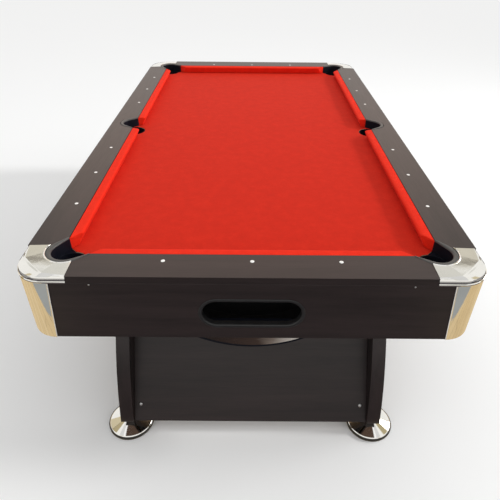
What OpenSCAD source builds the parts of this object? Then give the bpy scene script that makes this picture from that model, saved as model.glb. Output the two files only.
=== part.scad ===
/* [Cabinet] */
// Width over the wooden rails
table_w = 1400; // [1360:10:1440]
// Length over the wooden rails
table_l = 2500; // [2440:10:2560]
// Height of the rail top above the floor
rail_top = 820; // [800:5:860]
// Height of the apron boards below the rails
apron_h = 215; // [200:5:225]
// Thickness of the apron boards
apron_t = 18; // [16:1:22]
// Radius of the cabinet's outer corners
corner_r = 92; // [88:1:94]

/* [Rails and cushions] */
// Width of the wooden rail top, side rails
side_rail_w = 115; // [112:1:118]
// Width of the wooden rail top, end rails
end_rail_w = 114; // [112:1:118]
// Thickness of the wooden rail top
rail_t = 24; // [22:1:26]
// Width of a cushion, from the rail to its nose
cushion_w = 35; // [33:1:38]
// Height of the nose above the cloth
nose_h = 36; // [34:1:37]
// Radius of an inlaid sight
sight_r = 6.5; // [5:0.5:8]

/* [Pockets] */
// Radius of a pocket's hole
pocket_r = 48; // [46:1:50]
// Width of the pocket rim around the back
rim_w = 16; // [14:1:17]
// Half of the mouth of a corner pocket
corner_mouth = 62; // [60:1:64]
// Half of the mouth of a side pocket
side_mouth = 70; // [68:1:72]

/* [Ball return] */
// Length of the return slot
slot_l = 300; // [280:5:320]
// Height of the return slot
slot_h = 90; // [84:2:94]
// Inside width of a gutter
gutter_w = 96; // [90:2:98]

/* [Legs] */
// Thickness of a leg board
leg_t = 50; // [44:1:54]
// Height of a leg's lower end above the floor
leg_z = 60; // [60:1:64]
// Length of a leg's lower end
leg_foot_l = 96; // [90:2:104]
// Radius of a foot's base pad
foot_r = 88; // [80:1:92]
// Travel of a levelling foot
foot_travel = 20; // [10:1:24]

/* [Hidden] */
$fn = 96;

// Colours
red = "#dc2820";
wood = "#3a2e2b";
chrome = "#d8d8d4";
black = "#1c1c20";
grey = "#4c4c4c";
steel = "#a8a8a8";
board = "#b08a60";

// Places shared by the sub-parts
half_w = table_w / 2;
half_l = table_l / 2;
wood_x = half_w - side_rail_w;
wood_y = half_l - end_rail_w;
cloth_t = 1;
bed_t = 24;
cloth_top = rail_top - 42;
bed_top = cloth_top - cloth_t;
bed_bottom = bed_top - bed_t;
rail_bottom = rail_top - rail_t;
subrail_w = 60;
apron_bottom = rail_bottom - apron_h;
quarters = [[-1, -1], [1, -1], [-1, 1], [1, 1]];
eps = 0.01;
glue_line = 0.1;

// Pockets: each stands at its own centre and opens along its local +X
pocket_inset = 16;
corner_pocket = [wood_x - pocket_inset, wood_y - pocket_inset];
side_pocket = [wood_x + 10, 0];
corner_mouth_u = corner_mouth - pocket_inset * sqrt(2);
side_mouth_u = 10;
liner_t = 4;
rim_top = rail_top + 1;
rim_t = 6;
liner_bottom = bed_bottom - 27;
pocket_gap = 0.3;

// Corner caps and posts
skin_t = 2;
cap_top = rail_top + 2;
cap_lip = 2;
cap_lip_h = 5;
cap_plate = 4;
cap_chamfer = 3;
cap_arm_x = table_w / 2 - 163;
cap_arm_y = table_l / 2 - 157;
post_arm_top = 19;
post_arm_bottom = 1;

// Ball return
slot_z = rail_bottom - 113;
bezel_w = 6;
gutter_t = 4;
gutter_x = wood_x + 5;
gutter_top = bed_bottom - 46;
gutter_floor_rear = gutter_top - 67;
gutter_floor_front = gutter_top - 107;
gutter_floor_end = gutter_top - 115;
gutter_end_y = corner_pocket[1] + 60;
run_y0 = -gutter_end_y - 8;
box_half = 200;
box_t = 5;
box_r = 380;
box_low = apron_bottom - 57;
box_front_t = 12;
box_y0 = -half_l + apron_t;
box_back = run_y0 + gutter_w + 2 * gutter_t;

// Beams and legs
beam_h = 45;
beam_w = 40;
beam_bottom = bed_bottom - beam_h;
long_beam_l = 2120;
leg_x = 475;
leg_top = beam_bottom - beam_h;
leg_y = half_l - 108;
leg_front_bottom = [leg_y + leg_foot_l / 2, leg_z];
leg_back_bottom = [leg_y - leg_foot_l / 2, leg_z];
leg_front_top = [half_l - 333, apron_bottom];
leg_back_top = [half_l - 560, apron_bottom];
leg_bow = 42;
leg_hollow = 46;
panel_t = 18;
panel_low = [half_l - 70, leg_z - 5];
panel_tilt = 31;
panel_l = 622;
cleat_w = 40;
bolt_up = 66;

// Levelling feet
pad_h = 13;
boss_r = 20;
boss_top = leg_z - 6;
stem_r = 8;
stem_gap = 0.3;
stem_top = leg_z + 72;
nut_r = 11;
nut_flange_r = 14;
nut_l = 26;

// Centre of the circle through p and q that bows out by s to the right of p to q
function arc_r(p, q, s) = (pow(norm(q - p), 2) / 4 + s * s) / (2 * s);
function arc_centre(p, q, s) =
    (p + q) / 2 + (s - arc_r(p, q, s)) * [q[1] - p[1], p[0] - q[0]] / norm(q - p);

// Point where a line from p touches a circle of radius r about the origin
function touch(p, r) = let (a = atan2(p[1], p[0]) + acos(r / norm(p))) r * [cos(a), sin(a)];

// Moves a part that is drawn at the right rear to any quarter of the table
module quarter(q) {
    mirror([q[0] < 0 ? 1 : 0, 0, 0])
        mirror([0, q[1] < 0 ? 1 : 0, 0])
            children();
}

module slab(x0, x1, y0, y1, z0, z1) {
    translate([x0, y0, z0])
        cube([x1 - x0, y1 - y0, z1 - z0]);
}

module at_corner_pocket() {
    translate([corner_pocket[0], corner_pocket[1], 0])
        rotate([0, 0, -135])
            children();
}

module at_side_pocket() {
    translate([side_pocket[0], side_pocket[1], 0])
        rotate([0, 0, 180])
            children();
}

// Plan of a pocket: a circle whose sides run out to its mouth.
// The sides meet the circle at a slight angle, just inside the true tangent.
module pocket_plan(r, u, m) {
    t = touch([u, m], 0.98 * r);
    circle(r);
    polygon([[u, m], t, [t[0], -t[1]], [u, -m]]);
}

module corner_pocket_plan(grow) {
    pocket_plan(pocket_r + grow, corner_mouth_u, corner_mouth + min(grow, 5) - 1);
}

module side_pocket_plan(grow) {
    pocket_plan(pocket_r + grow, side_mouth_u, side_mouth + min(grow, 5) - 1);
}

module pocket_holes(grow, z0, z1) {
    translate([0, 0, z0]) {
        for (q = quarters)
            quarter(q)
                at_corner_pocket()
                    linear_extrude(z1 - z0)
                        corner_pocket_plan(grow);
        for (q = [[-1, 1], [1, 1]])
            quarter(q)
                at_side_pocket()
                    linear_extrude(z1 - z0)
                        side_pocket_plan(grow);
    }
}

// Playing bed

bed_x = wood_x + subrail_w;
bed_y = wood_y + subrail_w;
notch = 34;
panel_joint_y = 230;

// Behind each pocket the board and the cloth are cut through to their edge
module bed_sheet(z0, z1) {
    difference() {
        slab(-bed_x, bed_x, -bed_y, bed_y, z0, z1);
        pocket_holes(liner_t + pocket_gap, z0 - 1, z1 + 1);
        for (q = quarters)
            quarter(q) {
                slab(corner_pocket[0] - notch, bed_x + 1, corner_pocket[1] - notch, bed_y + 1,
                     z0 - 1, z1 + 1);
                slab(side_pocket[0] - notch, bed_x + 1, -1, notch + 5, z0 - 1, z1 + 1);
            }
    }
}

// The board is three lengths that meet over two of the beams
module bed_panel() {
    color(board)
        difference() {
            bed_sheet(bed_bottom, bed_top);
            for (y = [-panel_joint_y, panel_joint_y])
                slab(-bed_x - 1, bed_x + 1, y - glue_line / 2, y + glue_line / 2,
                     bed_bottom - 1, bed_top + 1);
        }
}

module bed_cloth() {
    color(red)
        bed_sheet(bed_top, cloth_top);
}

module bed_beams() {
    inner = half_w - apron_t;
    color(board) {
        for (y = [-1010, -600, -230, 230, 600, 1010])
            slab(-inner, inner, y - beam_w / 2, y + beam_w / 2, beam_bottom, bed_bottom);
        for (x = [-leg_x, leg_x])
            slab(x - leg_t / 2, x + leg_t / 2, -long_beam_l / 2, long_beam_l / 2,
                 leg_top, beam_bottom - glue_line);
    }
}

// Rails

side_sights = [318, 572, 827];
end_sights = [-267, 0, 267];
side_sight_x = half_w - 71;
end_sight_y = half_l - 80;
sight_depth = 2;

module sight_discs(r, z1) {
    translate([0, 0, rail_top - sight_depth]) {
        for (x = [-side_sight_x, side_sight_x], s = [-1, 1], y = side_sights)
            translate([x, s * y, 0])
                cylinder(r = r, h = z1 - rail_top + sight_depth);
        for (y = [-end_sight_y, end_sight_y], x = end_sights)
            translate([x, y, 0])
                cylinder(r = r, h = z1 - rail_top + sight_depth);
    }
}

// A side rail is two lengths that meet behind the side pocket
module rail_side(sx) {
    color(wood)
        difference() {
            quarter([sx, 1]) {
                slab(wood_x, half_w, -cap_arm_y, cap_arm_y, rail_bottom, rail_top);
                slab(wood_x, bed_x, -cap_arm_y, cap_arm_y, cloth_top, rail_bottom);
            }
            pocket_holes(rim_w + pocket_gap, cloth_top - 1, rail_top + 1);
            sight_discs(sight_r + 0.1, rail_top + 1);
            slab(-half_w - 1, half_w + 1, -glue_line / 2, glue_line / 2,
                 cloth_top - 1, rail_top + 1);
        }
}

module rail_end(sy) {
    color(wood)
        difference() {
            quarter([1, sy]) {
                slab(-cap_arm_x, cap_arm_x, wood_y, half_l, rail_bottom, rail_top);
                slab(-cap_arm_x, cap_arm_x, wood_y, bed_y, cloth_top, rail_bottom);
            }
            pocket_holes(rim_w + pocket_gap, cloth_top - 1, rail_top + 1);
            sight_discs(sight_r + 0.1, rail_top + 1);
        }
}

module sights() {
    color("white")
        sight_discs(sight_r, rail_top + 0.2);
}

// Cushions

cushion_base = cloth_top + 1;
corner_end = corner_pocket[1] - (corner_mouth_u * sqrt(2) + pocket_inset) + 0.6;
corner_end_x = corner_end - wood_y + wood_x;
side_jaw = 9;

// Section of a cushion: the back at 0, the nose at cushion_w, drawn upwards
module cushion_section() {
    nose = cloth_top + nose_h;
    polygon([
        [0, cushion_base],
        [0, rail_top],
        [cushion_w - 5, nose + 4],
        [cushion_w - 1, nose + 2.2],
        [cushion_w, nose],
        [cushion_w - 1, nose - 2.5],
        [cushion_w - 17, cushion_base]
    ]);
}

// A cushion's bar from a to b along Y, with its back on x = 0 and its nose at -x.
// cut_a and cut_b say how far each end is cut back at the nose.
module cushion_bar(a, b, cut_a, cut_b) {
    slope_a = cut_a / cushion_w;
    slope_b = cut_b / cushion_w;
    far = cushion_w + 5;
    intersection() {
        translate([0, b, 0])
            rotate([90, 0, 0])
                linear_extrude(b - a)
                    mirror([1, 0, 0])
                        cushion_section();
        translate([0, 0, cushion_base - 1])
            linear_extrude(rail_top - cushion_base + 2)
                polygon([
                    [eps, a],
                    [-far, a + slope_a * far],
                    [-far, b - slope_b * far],
                    [eps, b]
                ]);
    }
}

module cushion_side(q) {
    color(red)
        quarter(q)
            translate([wood_x, 0, 0])
                cushion_bar(side_mouth, corner_end, side_jaw, cushion_w + 1);
}

module cushion_end(sy) {
    color(red)
        quarter([1, sy])
            translate([0, wood_y, 0])
                rotate([0, 0, 90])
                    cushion_bar(-corner_end_x, corner_end_x, cushion_w + 1, cushion_w + 1);
}

// Pocket liners: a rim on top, a wall that opens towards the bed and a ring below it

module liner(u) {
    rim_bottom = rim_top - rim_t;
    bed_lip = cloth_top - 2;
    color(grey) {
        difference() {
            translate([0, 0, liner_bottom])
                linear_extrude(rim_bottom - liner_bottom + rim_t / 2)
                    difference() {
                        children(1);
                        children(0);
                    }
            slab(u - eps, u + 60, -100, 100, bed_lip, rim_top);
        }
        translate([0, 0, rim_bottom])
            linear_extrude(rim_t)
                difference() {
                    children(2);
                    children(0);
                    translate([u - eps, -100])
                        square([60, 200]);
                }
    }
}

module corner_liner(q) {
    quarter(q)
        at_corner_pocket()
            liner(corner_mouth_u) {
                corner_pocket_plan(0);
                corner_pocket_plan(liner_t);
                corner_pocket_plan(rim_w);
            }
}

module side_liner(q) {
    quarter(q)
        at_side_pocket()
            liner(side_mouth_u) {
                side_pocket_plan(0);
                side_pocket_plan(liner_t);
                side_pocket_plan(rim_w - 2);
            }
}

// Corner caps, posts and blocks

// Rounded corner of the cabinet, shrunk by t all round
module corner_plan(t) {
    x1 = half_w + skin_t - t;
    y1 = half_l + skin_t - t;
    r = corner_r + skin_t - t;
    x0 = cap_arm_x + max(t, 0);
    y0 = cap_arm_y + max(t, 0);
    difference() {
        union() {
            translate([x0, y0])
                square([x1 - r - x0, y1 - y0]);
            translate([x0, y0])
                square([x1 - x0, y1 - r - y0]);
            intersection() {
                translate([x1 - r, y1 - r])
                    circle(r);
                translate([x0, y0])
                    square([x1 - x0, y1 - y0]);
            }
        }
        translate([corner_pocket[0], corner_pocket[1]])
            rotate(-135)
                corner_pocket_plan(rim_w + pocket_gap + max(t, 0));
    }
}

module corner_cap(q) {
    color(chrome)
        quarter(q) {
            translate([0, 0, rail_bottom])
                linear_extrude(cap_top - cap_plate - rail_bottom)
                    difference() {
                        corner_plan(0);
                        corner_plan(cap_plate);
                    }
            translate([0, 0, cap_top - cap_plate])
                linear_extrude(cap_plate)
                    corner_plan(cap_chamfer);
            translate([0, 0, cap_top - cap_plate])
                linear_extrude(cap_plate / 2)
                    corner_plan(0);
            translate([0, 0, rail_bottom])
                linear_extrude(cap_lip_h)
                    difference() {
                        corner_plan(-cap_lip);
                        corner_plan(cap_plate);
                    }
        }
}

module corner_post(q) {
    cut = post_arm_top - post_arm_bottom;
    cx = half_w - corner_r;
    cy = half_l - corner_r;
    color(chrome)
        quarter(q)
            difference() {
                translate([0, 0, apron_bottom])
                    linear_extrude(apron_h)
                        difference() {
                            union() {
                                translate([cx, cy])
                                    circle(corner_r + skin_t);
                                translate([cx - post_arm_top, cy])
                                    square([post_arm_top, corner_r + skin_t]);
                                translate([cx, cy - post_arm_top])
                                    square([corner_r + skin_t, post_arm_top]);
                            }
                            translate([cx, cy])
                                circle(corner_r);
                            translate([cx - 100, cy - 100])
                                square([100 + corner_r, 100]);
                            translate([cx - 100, cy - 100])
                                square([100, 100 + corner_r]);
                        }
                translate([cx - post_arm_top, half_l + 10, apron_bottom])
                    rotate([90, 0, 0])
                        linear_extrude(20)
                            polygon([[-1, -1], [cut, -1], [cut, 0], [0, apron_h], [-1, apron_h]]);
                translate([half_w - 10, cy - post_arm_top, apron_bottom])
                    rotate([90, 0, 90])
                        linear_extrude(20)
                            polygon([[-1, -1], [cut, -1], [cut, 0], [0, apron_h], [-1, apron_h]]);
            }
}

module corner_blocks() {
    color(board)
        for (q = quarters)
            quarter(q)
                difference() {
                    translate([half_w - corner_r, half_l - corner_r, apron_bottom])
                        intersection() {
                            cylinder(r = corner_r, h = apron_h);
                            cube([corner_r + 1, corner_r + 1, apron_h]);
                        }
                    // Clear of the bed's corner and the gutter below it
                    slab(0, bed_x + glue_line, 0, bed_y + glue_line,
                         apron_bottom - 1, rail_bottom + 1);
                }
}

// Aprons

// Stadium lying along X, centred, in the plane of the front apron
module stadium(l, h) {
    square([l - h, h], center = true);
    for (s = [-1, 1])
        translate([s * (l - h) / 2, 0])
            circle(h / 2);
}

// Stands a plan drawn in X and Z up, from y0 to y1
module stand(y0, y1) {
    translate([0, y1, 0])
        rotate([90, 0, 0])
            linear_extrude(y1 - y0)
                children();
}

module apron_end(sy) {
    quarter([1, sy])
        slab(corner_r - half_w, half_w - corner_r, half_l - apron_t, half_l,
             apron_bottom, rail_bottom);
}

module apron_side(sx) {
    color(wood)
        quarter([sx, 1])
            slab(half_w - apron_t, half_w, corner_r - half_l, half_l - corner_r,
                 apron_bottom, rail_bottom);
}

module apron_front() {
    color(wood)
        difference() {
            apron_end(-1);
            stand(-half_l - 1, -half_l + apron_t + 1)
                translate([0, slot_z])
                    stadium(slot_l + bezel_w, slot_h + bezel_w);
        }
}

module apron_rear() {
    color(wood)
        apron_end(1);
}

screw_x = 472;
screw_z = rail_bottom - 6;
screw_r = 3;

module apron_screws() {
    color(steel)
        for (q = quarters)
            quarter(q)
                translate([screw_x, half_l, screw_z])
                    rotate([-90, 0, 0])
                        cylinder(r = screw_r, h = 0.8);
}

// Ball return

module slot_bezel() {
    color(grey)
        difference() {
            union() {
                stand(-half_l - skin_t, -half_l)
                    translate([0, slot_z])
                        stadium(slot_l + 4 * bezel_w, slot_h + 4 * bezel_w);
                stand(-half_l, -half_l + apron_t)
                    translate([0, slot_z])
                        stadium(slot_l + bezel_w, slot_h + bezel_w);
            }
            stand(-half_l - skin_t - 1, -half_l + apron_t + 1)
                translate([0, slot_z])
                    stadium(slot_l, slot_h);
        }
}

// Section of the ball box across the table, shrunk by t
module box_section(t) {
    intersection() {
        translate([-box_half + t, box_low - 1])
            square([2 * (box_half - t), bed_bottom - 5 - box_low + 1]);
        translate([0, box_low + box_r])
            circle(box_r - t);
    }
}

module ball_box() {
    inlet = gutter_floor_end;
    color(black)
        difference() {
            stand(box_y0 + box_front_t, box_back)
                box_section(0);
            stand(box_y0 + box_front_t - 1, box_back - box_t)
                box_section(box_t);
            slab(-box_half - 1, box_half + 1, box_y0, box_back - box_t,
                 bed_bottom - 5 - box_t - eps, bed_bottom);
            slab(-box_half - 1, box_half + 1, run_y0 + gutter_t,
                 run_y0 + gutter_t + gutter_w, inlet, bed_bottom);
        }
}

module ball_box_front() {
    color(wood)
        intersection() {
            stand(box_y0, box_y0 + box_front_t)
                box_section(0);
            slab(-box_half, box_half, box_y0, box_y0 + box_front_t,
                 box_low - 1, slot_z - slot_h / 2 - 1);
        }
}

module gutter(sx) {
    x0 = gutter_x - gutter_w / 2;
    x1 = gutter_x + gutter_w / 2;
    run_y1 = run_y0 + gutter_w + 2 * gutter_t;
    low = gutter_floor_end - gutter_t;
    turn_y = run_y0 + gutter_t;
    rear_y = gutter_end_y;
    color(black)
        quarter([sx, 1])
            difference() {
                union() {
                    slab(x0 - gutter_t, x1 + gutter_t, run_y0, rear_y, low, gutter_top);
                    slab(box_half, x1 + gutter_t, run_y0, run_y1, low, gutter_top);
                }
                // Side run, its floor falling towards the front
                translate([x0, 0, 0])
                    rotate([90, 0, 90])
                        linear_extrude(gutter_w)
                            polygon([
                                [turn_y, gutter_floor_front],
                                [rear_y - gutter_t, gutter_floor_rear],
                                [rear_y - gutter_t, gutter_top + 1],
                                [turn_y, gutter_top + 1]
                            ]);
                // Front run, its floor falling towards the ball box
                stand(turn_y, turn_y + gutter_w)
                    polygon([
                        [box_half - 1, gutter_floor_end],
                        [x1, gutter_floor_front],
                        [x1, gutter_top + 1],
                        [box_half - 1, gutter_top + 1]
                    ]);
                // Underside of the side run follows its floor
                translate([x0 - gutter_t - 1, 0, 0])
                    rotate([90, 0, 90])
                        linear_extrude(gutter_w + 2 * gutter_t + 2)
                            polygon([
                                [run_y1 + 1, low - 1],
                                [rear_y + 1, low - 1],
                                [rear_y + 1, gutter_floor_rear - gutter_t],
                                [run_y1 + 1, gutter_floor_front - gutter_t]
                            ]);
            }
}

// Legs

// Side view of a leg in Y and Z: the front edge bows out, the back edge is hollow
module leg_side() {
    front_r = arc_r(leg_front_bottom, leg_front_top, leg_bow);
    back_r = arc_r(leg_back_bottom, leg_back_top, leg_hollow);
    difference() {
        intersection() {
            polygon([
                leg_back_bottom,
                leg_front_bottom + [60, 0],
                [leg_front_top[0] + 60, apron_bottom],
                leg_back_top
            ]);
            translate(arc_centre(leg_front_bottom, leg_front_top, leg_bow)) circle(front_r, $fn = 200);
        }
        translate(arc_centre(leg_back_bottom, leg_back_top, leg_hollow)) circle(back_r, $fn = 200);
    }
    translate([leg_back_top[0], apron_bottom - eps])
        square([leg_front_top[0] - leg_back_top[0], leg_top - apron_bottom + eps]);
}

module foot_place() {
    translate([leg_x, leg_y, 0])
        children();
}

module leg(q) {
    color(wood)
        quarter(q)
            difference() {
                translate([leg_x - leg_t / 2, 0, 0])
                    rotate([90, 0, 90])
                        linear_extrude(leg_t)
                            leg_side();
                foot_place() {
                    translate([0, 0, leg_z - 1])
                        cylinder(r = nut_flange_r + 0.2, h = 3.2);
                    translate([0, 0, leg_z - 1])
                        cylinder(r = nut_r + 0.2, h = nut_l + 1.2);
                    translate([0, 0, leg_z - 1])
                        cylinder(r = stem_r + 1.5, h = stem_top - leg_z + 5);
                }
            }
}

// Draws in the end panel's own plane: X across, Y up the slope, Z out of its front
module on_panel() {
    translate([0, panel_low[0], panel_low[1]])
        rotate([90 - panel_tilt, 0, 180])
            children();
}

module leg_panel(sy) {
    half = leg_x - leg_t / 2;
    color(wood)
        quarter([1, sy])
            on_panel()
                translate([-half, 0, -panel_t])
                    cube([2 * half, panel_l, panel_t]);
}

module leg_cleats() {
    half = leg_x - leg_t / 2;
    color(board)
        for (q = quarters)
            quarter(q)
                on_panel()
                    translate([-half, 30, -panel_t - cleat_w])
                        cube([cleat_w, panel_l - 60, cleat_w]);
}

module panel_bolts() {
    color(steel)
        for (q = quarters)
            quarter(q)
                on_panel()
                    for (y = [bolt_up, panel_l - bolt_up])
                        translate([-(leg_x - leg_t), y, 0])
                            cylinder(r = 6, h = 2.5);
}

module leg_nuts() {
    color(steel)
        for (q = quarters)
            quarter(q)
                foot_place()
                    difference() {
                        union() {
                            translate([0, 0, leg_z])
                                cylinder(r = nut_flange_r, h = 2);
                            translate([0, 0, leg_z])
                                cylinder(r = nut_r, h = nut_l);
                        }
                        translate([0, 0, leg_z - 1])
                            cylinder(r = stem_r + stem_gap, h = nut_l + 2);
                    }
}

// Levelling feet

module foot_dish(q) {
    shell = 3;
    seat = pad_h;
    color(chrome)
        quarter(q)
            foot_place()
                rotate_extrude()
                    polygon([
                        [foot_r - 2, seat],
                        [foot_r - 2, seat + 2],
                        [foot_r - 5, seat + 5],
                        [boss_r + 3, boss_top - 14],
                        [boss_r, boss_top - 10],
                        [boss_r - 1, boss_top],
                        [stem_r + stem_gap, boss_top],
                        [stem_r + stem_gap, seat + 12],
                        [0, seat + 12],
                        [0, seat],
                        [boss_r - 3, seat],
                        [boss_r - 3, boss_top - 17],
                        [foot_r - 5 - shell, seat + 2],
                        [foot_r - 5 - shell, seat]
                    ]);
}

module foot_pad(q) {
    color(black)
        quarter(q)
            foot_place()
                rotate_extrude()
                    polygon([
                        [0, 0],
                        [foot_r - 2, 0],
                        [foot_r, 2],
                        [foot_r, pad_h - 1],
                        [foot_r - 1, pad_h],
                        [0, pad_h]
                    ]);
}

module foot_stem(q) {
    bottom = pad_h + 12 + stem_gap;
    hex_r = 13;
    hex_h = 5;
    color(steel)
        quarter(q)
            foot_place() {
                translate([0, 0, bottom])
                    cylinder(r = stem_r, h = stem_top - bottom);
                translate([0, 0, boss_top + stem_gap])
                    cylinder(r = hex_r, h = hex_h, $fn = 6);
            }
}

bed_panel();
bed_cloth();
bed_beams();
rail_side(-1);  // rail_left
rail_side(1);  // rail_right
rail_end(-1);  // rail_front
rail_end(1);  // rail_rear
sights();
cushion_end(-1);  // cushion_front
cushion_end(1);  // cushion_rear
cushion_side([-1, -1]);  // cushion_left_front
cushion_side([-1, 1]);  // cushion_left_rear
cushion_side([1, -1]);  // cushion_right_front
cushion_side([1, 1]);  // cushion_right_rear
corner_liner([-1, -1]);  // pocket_front_left
corner_liner([1, -1]);  // pocket_front_right
corner_liner([-1, 1]);  // pocket_rear_left
corner_liner([1, 1]);  // pocket_rear_right
side_liner([-1, 1]);  // pocket_side_left
side_liner([1, 1]);  // pocket_side_right
corner_cap([-1, -1]);  // corner_cap_front_left
corner_cap([1, -1]);  // corner_cap_front_right
corner_cap([-1, 1]);  // corner_cap_rear_left
corner_cap([1, 1]);  // corner_cap_rear_right
corner_post([-1, -1]);  // corner_post_front_left
corner_post([1, -1]);  // corner_post_front_right
corner_post([-1, 1]);  // corner_post_rear_left
corner_post([1, 1]);  // corner_post_rear_right
corner_blocks();
apron_front();
apron_rear();
apron_side(-1);  // apron_left
apron_side(1);  // apron_right
apron_screws();
slot_bezel();
ball_box();
ball_box_front();
gutter(-1);  // gutter_left
gutter(1);  // gutter_right
leg([-1, -1]);  // leg_front_left
leg([1, -1]);  // leg_front_right
leg([-1, 1]);  // leg_rear_left
leg([1, 1]);  // leg_rear_right
leg_panel(-1);  // leg_panel_front
leg_panel(1);  // leg_panel_rear
leg_cleats();
panel_bolts();
leg_nuts();
foot_dish([-1, -1]);  // foot_dish_front_left
foot_dish([1, -1]);  // foot_dish_front_right
foot_dish([-1, 1]);  // foot_dish_rear_left
foot_dish([1, 1]);  // foot_dish_rear_right
foot_pad([-1, -1]);  // foot_pad_front_left
foot_pad([1, -1]);  // foot_pad_front_right
foot_pad([-1, 1]);  // foot_pad_rear_left
foot_pad([1, 1]);  // foot_pad_rear_right
foot_stem([-1, -1]);  // foot_stem_front_left
foot_stem([1, -1]);  // foot_stem_front_right
foot_stem([-1, 1]);  // foot_stem_rear_left
foot_stem([1, 1]);  // foot_stem_rear_right
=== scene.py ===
"""Looks of an 8 ft pool table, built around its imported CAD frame. Lengths are in metres.

+Y is the rear, +X the right. Quarter pieces are made at the right rear and mirrored."""
import math

import bmesh
import bpy
from mathutils import Matrix, Vector


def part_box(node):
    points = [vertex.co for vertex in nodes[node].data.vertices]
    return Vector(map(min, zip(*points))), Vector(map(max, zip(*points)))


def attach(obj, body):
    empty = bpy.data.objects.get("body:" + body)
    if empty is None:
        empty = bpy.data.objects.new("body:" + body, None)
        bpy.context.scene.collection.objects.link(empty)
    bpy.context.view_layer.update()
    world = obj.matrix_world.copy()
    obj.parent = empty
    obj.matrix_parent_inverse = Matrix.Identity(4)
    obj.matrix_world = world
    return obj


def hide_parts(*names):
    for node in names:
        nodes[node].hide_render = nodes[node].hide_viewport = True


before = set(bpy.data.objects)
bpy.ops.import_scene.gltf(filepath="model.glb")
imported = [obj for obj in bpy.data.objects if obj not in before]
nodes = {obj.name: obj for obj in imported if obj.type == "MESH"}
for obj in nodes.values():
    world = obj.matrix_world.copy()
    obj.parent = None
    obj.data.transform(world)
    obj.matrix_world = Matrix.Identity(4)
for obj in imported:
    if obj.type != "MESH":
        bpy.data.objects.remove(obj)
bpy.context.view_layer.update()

QUARTERS = {"front_left": (-1, -1), "front_right": (1, -1),
            "rear_left": (-1, 1), "rear_right": (1, 1)}


# ---- places read from the frame

def low(node, axis):
    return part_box(node)[0][axis]


def high(node, axis):
    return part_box(node)[1][axis]


RAIL_TOP = high("rail_right", 2)
CLOTH_TOP = high("bed_cloth", 2)
WOOD_X = low("rail_right", 0)
WOOD_Y = low("rail_rear", 1)
NOSE_X = low("cushion_right_rear", 0)
HALF_W = high("rail_right", 0)
HALF_L = high("rail_rear", 1)
RAIL_BOTTOM = high("apron_right", 2)
APRON_BOTTOM = low("apron_right", 2)
CAP_X = high("rail_rear", 0)
CAP_Y = high("rail_right", 1)
CORNER_R = HALF_W - high("apron_rear", 0)
POCKET_R = 0.048
INSET = 0.016
CORNER_POCKET = (WOOD_X - INSET, WOOD_Y - INSET)
SIDE_POCKET = (WOOD_X + 0.010, 0.0)
CORNER_MOUTH = (0.062 - INSET * math.sqrt(2), 0.062)
SIDE_MOUTH = (0.010, 0.070)
NOTCH = 0.034                   # how far the bed is cut back behind a pocket
BROW = 0.0034                   # how far a cap's skirt leans in at its top
PANEL_TILT = math.radians(31)
PANEL_LENGTH = 0.622
BOLT_RISE = 0.066               # of a panel's bolts from its ends
BOLT_X = 0.425
SIGHT_R = 0.0065
THREAD_R, THREAD_PITCH = 0.0080, 0.002
ROOM = 5.0                      # half the width of the mirrored room
FLOOR = 40.0                    # half the width of the studio floor


# ---- node materials

def new_material(name):
    mat = bpy.data.materials.new(name)
    mat.use_nodes = True
    return mat, mat.node_tree.nodes, mat.node_tree.links, mat.node_tree.nodes["Principled BSDF"]


def put(tree_nodes, kind, **values):
    node = tree_nodes.new(kind)
    for key, value in values.items():
        if hasattr(node, key):
            setattr(node, key, value)
        else:
            node.inputs[key.replace("_", " ")].default_value = value
    return node


def settle(bsdf, **values):
    """Uniform values, set on the shader's own sockets."""
    for key, value in values.items():
        bsdf.inputs[key.replace("_", " ")].default_value = value


def mapped(tn, links, scale=(1.0, 1.0, 1.0)):
    """Object coordinates stretched by scale."""
    coords = tn.new("ShaderNodeTexCoord")
    mapping = tn.new("ShaderNodeMapping")
    mapping.inputs["Scale"].default_value = scale
    links.new(coords.outputs["Object"], mapping.inputs["Vector"])
    return mapping.outputs["Vector"]


def texture(tn, links, kind, stretch=(1.0, 1.0, 1.0), **values):
    """A procedural texture on stretched object coordinates."""
    node = put(tn, "ShaderNodeTex" + kind, **values)
    links.new(mapped(tn, links, stretch), node.inputs["Vector"])
    return node


def weighted_sum(tn, links, first, weight, second):
    """first times weight, plus second."""
    node = tn.new("ShaderNodeMath")
    node.operation = "MULTIPLY_ADD"
    links.new(first, node.inputs[0])
    node.inputs[1].default_value = weight
    links.new(second, node.inputs[2])
    return node.outputs[0]


def ramp(tn, links, source, stops):
    node = tn.new("ShaderNodeValToRGB")
    while len(node.color_ramp.elements) < len(stops):
        node.color_ramp.elements.new(0.5)
    for element, (place, colour) in zip(node.color_ramp.elements, stops):
        element.position = place
        element.color = (*colour, 1.0)
    links.new(source, node.inputs["Fac"])
    return node.outputs["Color"]


def spread(tn, links, source, lowest, highest):
    node = put(tn, "ShaderNodeMapRange", To_Min=lowest, To_Max=highest)
    links.new(source, node.inputs["Value"])
    return node.outputs["Result"]


def bump(tn, links, bsdf, source, strength, distance):
    node = put(tn, "ShaderNodeBump", Strength=strength, Distance=distance)
    links.new(source, node.inputs["Height"])
    links.new(node.outputs["Normal"], bsdf.inputs["Normal"])


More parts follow.
